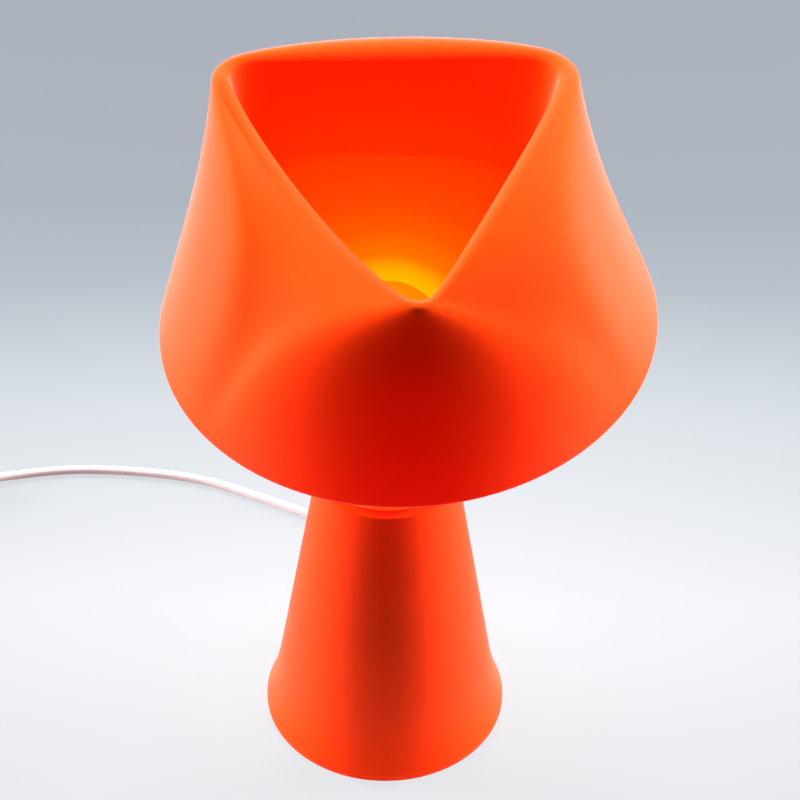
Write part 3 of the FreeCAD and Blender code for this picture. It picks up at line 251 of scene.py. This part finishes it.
class Loop:
    """A rounded outline round these corners, where its outward normal has this angle."""

    def __init__(self, angle, corners, radii):
        c, s = math.cos(angle), math.sin(angle)
        reach = [corner[0] * c + corner[1] * s + radius for corner, radius in zip(corners, radii)]
        far = max(reach)
        pull = [math.exp((value - far) / fold_softness) for value in reach]
        share = [value / sum(pull) for value in pull]
        self.corners = share
        self.sides = [4 * a * b for a, b in zip(share, share[1:] + share[:1])]
        self.out = far + fold_softness * math.log(sum(pull))
        self.along = sum(part * (corner[1] * c - corner[0] * s) for part, corner in zip(share, corners))

    def blend(self, corner_values, side_values):
        value = sum(a * b for a, b in zip(self.corners, corner_values)) * (1 - max(self.sides))
        return value + sum(a * b for a, b in zip(self.sides, side_values))


def fold_loop(angle):
    return Loop(angle, fold_corners, fold_corner_radii)


def rim_point(angle):
    x, y = rim_radius * math.cos(angle), rim_radius * math.sin(angle)
    lift = x * math.tan(math.radians(rim_tilt_right)) + y * math.tan(math.radians(rim_tilt_back))
    return rim_centre[0] + x, rim_centre[1] + y, neck_height + rim_centre[2] + lift


def column_angles(count):
    """Normal angles spread evenly over turn and over length along the fold."""
    fine = column_samples * count
    step = 2 * math.pi / fine
    crest = []
    for i in range(fine + 1):
        fold, c, s = fold_loop(i * step), math.cos(i * step), math.sin(i * step)
        crest.append((fold.out * c - fold.along * s, fold.out * s + fold.along * c))
    walked = [0.0]
    for a, b in zip(crest, crest[1:]):
        walked.append(walked[-1] + math.dist(a, b) / rim_radius + step)
    angles, i = [], 0
    for column in range(count):
        target = walked[-1] * column / count
        while walked[i + 1] < target:
            i += 1
        angles.append((i + (target - walked[i]) / (walked[i + 1] - walked[i])) * step)
    return angles


class Column:
    """One upright line of the shade, worked in (along the normal, along the tangent, up) at its angle."""

    def __init__(self, angle):
        self.normal = (math.cos(angle), math.sin(angle))
        fold = fold_loop(angle)
        self.roll = fold.blend(roll_corner_radii, roll_side_radii)
        height = sum(share * corner[2] for share, corner in zip(fold.corners, fold_corners))
        height += sum(share * rise for share, rise in zip(fold.sides, fold_side_rises))
        self.centre = (fold.out, fold.along, neck_height + height - self.roll)
        rise, run = self.centre[2] - shade_floor, self.centre[0] - funnel_radius
        self.length = math.hypot(rise, run)
        self.lean = math.atan2(run, rise) - math.asin((self.roll - sheet) / self.length)
        shoulder = Loop(angle, shoulder_corners, shoulder_corner_radii)
        bulge = sum(share * rise for share, rise in zip(shoulder.sides, shoulder_side_bulges))
        run = shoulder.out + bulge - self.centre[0]
        drop = shoulder.blend(shoulder_corner_drops, shoulder_side_drops)
        self.start = math.acos(self.roll / math.hypot(run, drop)) - math.atan2(drop, run)
        top = (self.centre[0] + self.roll * math.cos(self.start), self.centre[1],
               self.centre[2] + self.roll * math.sin(self.start))
        self.rim = self.local(rim_point(angle))
        end = math.radians(fold.blend(skirt_corner_ends, skirt_side_ends))
        reach = skirt_reach * math.dist(top, self.rim)
        low = self.rim[0] - reach * math.sin(end)
        self.skirt = [top, (self.centre[0] + run, shoulder.along, self.centre[2] - drop),
                      (low + (shoulder.out - low) * skirt_follow + skirt_swell,
                       self.rim[1] + (shoulder.along - self.rim[1]) * skirt_follow,
                       self.rim[2] + reach * math.cos(end)),
                      self.rim]

    def local(self, point):
        c, s = self.normal
        return point[0] * c + point[1] * s, point[1] * c - point[0] * s, point[2]

    def world(self, out, along, up):
        c, s = self.normal
        return out * c - along * s, out * s + along * c, up

    def on_roll(self, turn, inset):
        angle = self.start + turn * (math.pi - self.lean - self.start)
        radius = self.roll - inset
        return self.world(self.centre[0] + radius * math.cos(angle), self.centre[1],
                          self.centre[2] + radius * math.sin(angle))

    def on_skirt(self, part, inset):
        rest = 1 - part
        weights = (rest ** 3, 3 * rest ** 2 * part, 3 * rest * part ** 2, part ** 3)
        out, along, up = (sum(w * pole[i] for w, pole in zip(weights, self.skirt)) for i in range(3))
        slopes = (rest ** 2, 2 * rest * part, part ** 2)
        steps = list(zip(self.skirt, self.skirt[1:]))
        run, drop = (sum(w * (b[i] - a[i]) for w, (a, b) in zip(slopes, steps)) for i in (0, 2))
        size = math.hypot(run, drop)
        return self.world(out + inset * drop / size, along, up - inset * run / size)

    def on_funnel(self, distance, inset):
        out = funnel_radius + distance * math.sin(self.lean) - inset * math.cos(self.lean)
        up = shade_floor + distance * math.cos(self.lean) + inset * math.sin(self.lean)
        return self.world(out, self.centre[1] * distance / self.length, up)

    def funnel_at_height(self, height, inset):
        distance = (height - shade_floor - inset * math.sin(self.lean)) / math.cos(self.lean)
        return self.on_funnel(distance, inset)

    def line(self):
        """The whole section, from the rim up the outside, over the fold and back along the hidden side.
        Each entry is a point, how much of the bulb's painted light it shows and how much painted red light
        it shows through the cuff."""
        rim_in = rim_edge * sheet / (self.centre[2] - self.rim[2])
        edge = [(1.0 - rim_in + rim_in * part, inset) for part, inset in rim_edge_steps]
        return self.outer_face(rim_in, edge) + self.inner_face() + self.hidden_face(rim_in, edge)

    def outer_face(self, rim_in, edge):
        """The rim, the skirt and the fold, with painted red light through the skirt, most at the rim. The
        bulb's painted light fades in over the last third of the fold.
        """
        points = [(self.on_skirt(part, sheet * inset), 0.0, 1.0) for part, inset in edge]
        for i in range(1, skirt_rows):
            share = 1 - i / skirt_rows
            points.append((self.on_skirt((1 - rim_in) * share, 0.0), 0.0, share))
        for i in range(roll_rows + 1):
            share = i / roll_rows
            points.append((self.on_roll(share, 0.0), wall_lit * max(0.0, 3 * share - 2) ** 2, 0.0))
        return points

    def inner_face(self):
        """The wall down to the ledge, the ledge, the funnel below it and the floor."""
        floor_top = shade_floor + shade_floor_thickness
        ledge_top = ledge_from_neck + ledge_slope
        wall = spread(self.on_roll(1.0, 0.0), self.on_funnel(ledge_top, sheet), wall_rows)[1:]
        wall.append(self.on_funnel(ledge_top + ledge_above, sheet))
        along, back = ledge_edge
        funnel_top = self.on_funnel(ledge_from_neck - ledge_below, funnel_sheet)
        funnel_foot = self.funnel_at_height(floor_top, funnel_sheet)
        funnel = [self.on_funnel(ledge_top + ledge_root, sheet + ledge_root),
                  self.on_funnel(ledge_from_neck + along, funnel_sheet - back),
                  self.on_funnel(ledge_from_neck, funnel_sheet)]
        funnel += spread(funnel_top, funnel_foot, funnel_rows)
        funnel += [funnel_foot, self.world(shade_hole, 0, floor_top), self.world(shade_hole, 0, shade_floor)]
        return [(point, wall_lit, 0.0) for point in wall] + [(point, 1.0, 0.0) for point in funnel]

    def hidden_face(self, rim_in, edge):
        """The funnel's outside, the fold's inside and the skirt's inside, down to the rim."""
        funnel = spread(self.on_funnel(0.0, 0.0), self.on_roll(1.0, sheet), hidden_funnel_rows)
        points = [(point, 1.0, 0.0) for point in funnel]
        for i in range(hidden_roll_rows + 1):
            share = i / hidden_roll_rows
            points.append((self.on_roll(1 - share, sheet), 1.0 - share, share))
        for i in range(1, hidden_skirt_rows + 1):
            points.append((self.on_skirt((1 - rim_in) * i / hidden_skirt_rows, sheet), 0.0, 1.0))
        points += [(self.on_skirt(part, sheet * (1 - inset)), 0.0, 1.0) for part, inset in edge[-2::-1]]
        return points


def make_shade():
    columns = [Column(angle).line() for angle in column_angles(shade_columns)]
    rows = len(columns[0])
    vertices = [tuple(v * MM for v in column[i][0]) for i in range(rows) for column in columns]
    piece = mesh_piece("shade_sheet", vertices, loop_faces(rows, len(columns)))
    # Shares of painted light: the bulb's light on the walls, and the red light through the cuff
    for place, name in enumerate(("lit", "through"), 1):
        share = piece.data.attributes.new(name, "FLOAT", "POINT")
        share.data.foreach_set("value", [column[i][place] for i in range(rows) for column in columns])
    return piece


shade = make_shade()
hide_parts("shade")
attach(shade, "shade")


# The cord, one spline from the gland through the switch and the coil to the plug

def coil_point(turn):
    past = turn - coil_turns_in
    share = min(max(past / coil_crossing + 0.5, 0.0), 1.0)
    height = coil_low + coil_pitch * share * share * (3 - 2 * share)
    half = coil_crossing / 2
    steps = abs(past) if abs(past) > half else past * past / (2 * half) + half / 2
    radius = (coil_inner_radius + coil_pitch * steps) / math.cos(math.pi / coil_steps)
    angle = math.radians(coil_start) + 2 * math.pi * turn
    return coil_centre[0] + radius * math.cos(angle), coil_centre[1] + radius * math.sin(angle), height


def make_cord():
    count = int(coil_steps * (coil_turns_in + coil_turns_out))
    turns = [(i + 0.5) / coil_steps for i in range(count)]
    route = scaled(lead_route + between_route + [coil_point(turn) for turn in turns] + tail_route)
    curve = bpy.data.curves.new("cord", "CURVE")
    curve.dimensions = "3D"
    curve.bevel_depth = 1.0        # each point's own radius sets the thickness
    curve.bevel_resolution = 6
    curve.resolution_u = 12
    curve.use_fill_caps = True
    spline = curve.splines.new("NURBS")
    spline.points.add(len(route) - 1)
    for point, place in zip(spline.points, route):
        point.co = (*place, 1.0)
        point.radius = cord_radius * MM
    spline.order_u = 3
    spline.use_endpoint_u = True
    return new_object("cord", curve)


cord = make_cord()
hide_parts("cord_lead", "cord_between", "cord_coil", "cord_tail")
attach(cord, "base")


# Materials

def principled(name):
    made = bpy.data.materials.new(name)
    made.use_nodes = True
    tree = made.node_tree
    return made, tree, tree.nodes["Principled BSDF"]


def node(tree, kind, **values):
    made = tree.nodes.new(kind)
    for key, value in values.items():
        if key.startswith("in_"):
            made.inputs[key[3:].replace("_", " ")].default_value = value
        else:
            setattr(made, key, value)
    return made


def ramp(tree, stops, source):
    made = tree.nodes.new("ShaderNodeValToRGB")
    band = made.color_ramp
    while len(band.elements) < len(stops):
        band.elements.new(0.5)
    for element, (place, colour) in zip(band.elements, stops):
        element.position = place
        element.color = (*colour, 1.0)
    tree.links.new(source, made.inputs["Fac"])
    return made.outputs["Color"]


def greys(stops):
    return [(place, (value, value, value)) for place, value in stops]


def noise(tree, scale, detail=2.0):
    where = node(tree, "ShaderNodeTexCoord")
    made = node(tree, "ShaderNodeTexNoise", in_Scale=scale, in_Detail=detail)
    tree.links.new(where.outputs["Object"], made.inputs["Vector"])
    return made.outputs["Fac"]


def mottle(tree, shader, colour, dark, low, high, scale):
    """A base colour that wanders between this colour and this darker share of it."""
    darker = tuple(v * dark for v in colour)
    tint = ramp(tree, [(low, darker), (high, colour)], noise(tree, scale, 3.0))
    tree.links.new(tint, shader.inputs["Base Color"])


def bump(tree, shader, source, distance, strength):
    made = node(tree, "ShaderNodeBump", in_Strength=strength, in_Distance=distance)
    tree.links.new(source, made.inputs["Height"])
    tree.links.new(made.outputs["Normal"], shader.inputs["Normal"])


shade_red = (0.94, 0.050, 0.0006)
# The base's copy of the same silicone, a deeper red with less sheen and gloss: painted shade for the base
# beneath the shade
skin_red = (0.95, 0.040, 0.0005)
silicone_rough = 0.5
bloom_spread = 0.42                      # how broad the pale bloom at the edges is
bulb_middle = (0.0, 0.0, 0.262)
glow_near, glow_far = 0.045, 0.165       # metres from the bulb, over which its light, painted on the shade as emission, fades
unlit_away = 0.1                         # metres by which a place with less of the painted bulb light counts as farther off: painted shade
# Painted light of the bulb on the shade's walls, from near to far
glow_colours = [(0.0, (1.0, 0.62, 0.0)), (0.075, (1.0, 0.38, 0.0)), (0.12, (1.0, 0.165, 0.0)),
                (0.22, (1.0, 0.092, 0.0)), (0.34, (1.0, 0.056, 0.0)), (0.47, (1.0, 0.039, 0.0)),
                (0.54, (1.0, 0.036, 0.0)), (0.63, (1.0, 0.023, 0.0)), (0.88, (0.97, 0.013, 0.0)),
                (1.0, (0.9, 0.010, 0.0))]
# Painted red light through the cuff, as emission, from the fold to the rim
through_reds = [(0.0, 0.0), (0.06, 0.22), (0.3, 0.27), (0.5, 0.39), (0.75, 0.51), (1.0, 0.62)]


def painted_bulb_glow(tree):
    """The bulb's light painted on the shade as emission: yellow close to the bulb and red far off."""
    where = node(tree, "ShaderNodeTexCoord")
    away = node(tree, "ShaderNodeVectorMath", operation="DISTANCE")
    away.inputs[1].default_value = bulb_middle
    tree.links.new(where.outputs["Object"], away.inputs[0])
    lit = node(tree, "ShaderNodeAttribute", attribute_name="lit")
    farther = node(tree, "ShaderNodeMath", operation="MULTIPLY_ADD")
    farther.inputs[1].default_value = -unlit_away
    tree.links.new(lit.outputs["Fac"], farther.inputs[0])
    tree.links.new(away.outputs["Value"], farther.inputs[2])
    reach = node(tree, "ShaderNodeMapRange", in_From_Min=glow_near - unlit_away,
                 in_From_Max=glow_far - unlit_away)
    tree.links.new(farther.outputs["Value"], reach.inputs["Value"])
    return lit.outputs["Fac"], ramp(tree, glow_colours, reach.outputs["Result"])


def silicone(name, colour, bloom, gloss, shines):
    """Matt moulded silicone. On the shade, the bulb's light is painted on as emission, on its walls and
    through the cuff.
    """
    made, tree, shader = principled(name)
    mottle(tree, shader, colour, dark=0.95, low=0.35, high=0.7, scale=26.0)
    shader.inputs["Roughness"].default_value = silicone_rough
    shader.inputs["Specular IOR Level"].default_value = gloss
    shader.inputs["Sheen Weight"].default_value = bloom
    shader.inputs["Sheen Roughness"].default_value = bloom_spread
    bump(tree, shader, noise(tree, 700.0), distance=0.0001, strength=0.05)
    # Painted light: emission for the bulb's light on the walls and for red light through the cuff
    if shines:
        lit, glow = painted_bulb_glow(tree)
        through = node(tree, "ShaderNodeAttribute", attribute_name="through")
        reds = [(place, (red, 0.0, 0.0)) for place, red in through_reds]
        both = node(tree, "ShaderNodeMix", data_type="RGBA")
        tree.links.new(lit, both.inputs["Factor"])
        tree.links.new(ramp(tree, reds, through.outputs["Fac"]), both.inputs["A"])
        tree.links.new(glow, both.inputs["B"])
        tree.links.new(both.outputs["Result"], shader.inputs["Emission Color"])
        shader.inputs["Emission Strength"].default_value = 1.0
    return made


def moulded(name, colour, rough, grain=900.0, depth=0.05, **values):
    made, tree, shader = principled(name)
    mottle(tree, shader, colour, dark=0.93, low=0.35, high=0.65, scale=60.0)
    shader.inputs["Roughness"].default_value = rough
    for key, value in values.items():
        shader.inputs[key.replace("_", " ")].default_value = value
    bump(tree, shader, noise(tree, grain), distance=0.0002, strength=depth)
    return made


def metal(name, colour, rough):
    made = moulded(name, colour, rough, grain=1800.0, depth=0.04)
    made.node_tree.nodes["Principled BSDF"].inputs["Metallic"].default_value = 1.0
    return made


shade_stuff = silicone("shade_silicone", shade_red, bloom=0.17, gloss=0.08, shines=True)
skin_stuff = silicone("skin_silicone", skin_red, bloom=0.07, gloss=0.03, shines=False)
shade.data.materials.append(shade_stuff)
cover.data.materials.append(skin_stuff)

white_plastic = moulded("white_plastic", (0.8, 0.79, 0.76), 0.4)
# Written darker than the pale plastic is, so that it stays off white under the bright lamps: painted shade
clear_plastic = moulded("switch_plastic", (0.24, 0.24, 0.245), 0.28)
black_paint = moulded("black_paint", (0.03, 0.03, 0.03), 0.45)
cast = moulded("cast_iron", (0.06, 0.06, 0.06), 0.7, grain=500.0, depth=0.3)
foam = moulded("foot_foam", (0.03, 0.03, 0.03), 0.9, grain=1200.0, depth=0.5)
strap = moulded("strap_rubber", (0.05, 0.05, 0.05), 0.6)
cone_plastic = moulded("cone_plastic", (0.6, 0.06, 0.02), 0.5)
glaze = moulded("glaze", (0.02, 0.02, 0.02), 0.15)
green_board = moulded("circuit_board", (0.03, 0.16, 0.06), 0.4)
zinc = metal("zinc", (0.62, 0.63, 0.66), 0.3)
brass = metal("brass", (0.8, 0.58, 0.26), 0.3)
bright_metal = metal("bright_metal", (0.8, 0.8, 0.82), 0.22)
# Painted light: the bulb's diffuser is coloured and glows orange, for the shade's orange light on it
opal = moulded("opal", (0.3, 0.05, 0.0), 0.5, Specular_IOR_Level=0.1)
opal_shader = opal.node_tree.nodes["Principled BSDF"]
opal_shader.inputs["Emission Color"].default_value = (1.0, 0.175, 0.0, 1.0)
opal_shader.inputs["Emission Strength"].default_value = 1.0
# Written darker than the pale cord is, so that it stays off white under the bright lamps: painted shade
cord_stuff = moulded("cord_sheath", (0.42, 0.40, 0.41), 0.18)
cord.data.materials.append(cord_stuff)

by_slot = {
    "foot": foam, "plate": black_paint, "ballast": cast, "cone": cone_plastic, "steel": zinc,
    "holder": white_plastic, "contact": brass, "cap_metal": bright_metal, "insulator": glaze,
    "bulb_shell": white_plastic, "diffuser": opal, "board": bright_metal, "driver": green_board,
    "cord": cord_stuff, "core": brass, "switch": clear_plastic, "tie": strap, "silicone": skin_stuff,
}
for entry in frame["record"]["subparts"]:
    data = nodes[entry["node"]].data
    data.materials.clear()
    data.materials.append(by_slot[entry["material_slot"]])


# Floor, backdrop and light

floor_size = 12.0
floor_drop = 0.0005                             # how far it lies below the lamp's foot
floor_span = (-0.2, 0.8)                        # from front to back, over which its colour changes
# Painted light: the floor darkens from front to back for how the light falls off
floor_colours = [(0.12, (0.80, 0.83, 0.86)), (0.28, (0.86, 0.88, 0.92)), (0.47, (0.69, 0.745, 0.79)),
                 (0.6, (0.50, 0.555, 0.62)), (0.7, (0.44, 0.485, 0.55)), (0.92, (0.43, 0.462, 0.527))]
floor_pool = [(0.1, 0.14), (0.45, 0.0)]         # metres away, and what that colour gains close to the lamp: a painted pool of light
floor_bounce = [(0.08, 0.95), (0.35, 0.04)]     # metres away, and the share of light back to the lamp, painted paler close to it to throw more light onto the base
floor_shadow = 0.04                             # share of its colour that is lit, and so shows shadows
floor_glow = 0.775                              # share that it shines by itself
room_light = [(0.0, 0.01), (0.45, 0.03), (0.7, 0.7), (1.0, 1.0)]       # from the front to behind the lamp
lamp_aim = (0.0, 0.0, 0.3)
lamps = [("lamp_right", 107, 12, 2.0, 1.1, 3.4), ("lamp_left", -107, 12, 2.0, 1.1, 3.5),
         ("lamp_back", 180, 61, 2.2, 0.8, 2.6)]    # azimuth, elevation, metres away, size, level


def make_floor():
    bpy.ops.mesh.primitive_plane_add(size=floor_size, location=(0, 0, -floor_drop))
    floor = bpy.context.object
    floor.name = "floor"
    made, tree, shader = principled("floor")
    where = node(tree, "ShaderNodeTexCoord")
    split = node(tree, "ShaderNodeSeparateXYZ")
    tree.links.new(where.outputs["Object"], split.inputs["Vector"])
    reach = node(tree, "ShaderNodeMapRange", in_From_Min=floor_span[0], in_From_Max=floor_span[1])
    tree.links.new(split.outputs["Y"], reach.inputs["Value"])
    seen = ramp(tree, floor_colours, reach.outputs["Result"])
    path = node(tree, "ShaderNodeLightPath")
    view = node(tree, "ShaderNodeMath", operation="ADD", use_clamp=True)
    tree.links.new(path.outputs["Is Camera Ray"], view.inputs[0])
    tree.links.new(path.outputs["Is Transmission Ray"], view.inputs[1])
    either = node(tree, "ShaderNodeMath", operation="ADD", use_clamp=True)
    tree.links.new(view.outputs["Value"], either.inputs[0])
    tree.links.new(path.outputs["Is Glossy Ray"], either.inputs[1])
    away = node(tree, "ShaderNodeVectorMath", operation="LENGTH")
    tree.links.new(where.outputs["Object"], away.inputs[0])
    bounce = ramp(tree, greys(floor_bounce), away.outputs["Value"])
    pool = ramp(tree, greys(floor_pool), away.outputs["Value"])
    pooled = node(tree, "ShaderNodeVectorMath", operation="ADD")
    tree.links.new(seen, pooled.inputs[0])
    tree.links.new(pool, pooled.inputs[1])
    for share, socket in ((floor_shadow, "Base Color"), (floor_glow, "Emission Color")):
        dimmed = node(tree, "ShaderNodeVectorMath", operation="SCALE", in_Scale=share)
        tree.links.new(pooled.outputs["Vector"], dimmed.inputs[0])
        choice = node(tree, "ShaderNodeMix", data_type="RGBA")
        choice.inputs["A"].default_value = (0.0, 0.0, 0.0, 1.0)
        if socket == "Base Color":
            tree.links.new(bounce, choice.inputs["A"])
        tree.links.new(either.outputs["Value"], choice.inputs["Factor"])
        tree.links.new(dimmed.outputs["Vector"], choice.inputs["B"])
        tree.links.new(choice.outputs["Result"], shader.inputs[socket])
    shader.inputs["Emission Strength"].default_value = 1.0
    shader.inputs["Roughness"].default_value = 0.9
    shader.inputs["Specular IOR Level"].default_value = 0.0
    floor.data.materials.append(made)


def make_world():
    """A pale room, bright behind the lamp and dark in front."""
    world = bpy.data.worlds.new("world")
    bpy.context.scene.world = world
    world.use_nodes = True
    tree = world.node_tree
    back = tree.nodes["Background"]
    where = node(tree, "ShaderNodeTexCoord")
    split = node(tree, "ShaderNodeSeparateXYZ")
    tree.links.new(where.outputs["Generated"], split.inputs["Vector"])
    reach = node(tree, "ShaderNodeMapRange", in_From_Min=-1.0, in_From_Max=1.0)
    tree.links.new(split.outputs["Y"], reach.inputs["Value"])
    tree.links.new(ramp(tree, greys(room_light), reach.outputs["Result"]), back.inputs["Color"])
    back.inputs["Strength"].default_value = 1.0


def soft_lamp(name, azimuth, elevation, away, size, level):
    """A large soft lamp that gives about this level of light at the shade.
    Azimuth is counted from the front, to the right."""
    a, e = math.radians(azimuth), math.radians(elevation)
    toward = Vector((math.sin(a) * math.cos(e), -math.cos(a) * math.cos(e), math.sin(e)))
    data = bpy.data.lights.new(name, "AREA")
    data.shape = "DISK"
    data.size = size
    data.energy = level * math.pi * math.pi * away * away
    lamp = bpy.data.objects.new(name, data)
    bpy.context.scene.collection.objects.link(lamp)
    lamp.location = Vector(lamp_aim) + toward * away
    lamp.rotation_euler = toward.to_track_quat("Z", "Y").to_euler()
    lamp.visible_glossy = False


make_floor()
make_world()
for lamp in lamps:
    soft_lamp(*lamp)
bpy.context.scene.view_settings.view_transform = "Standard"
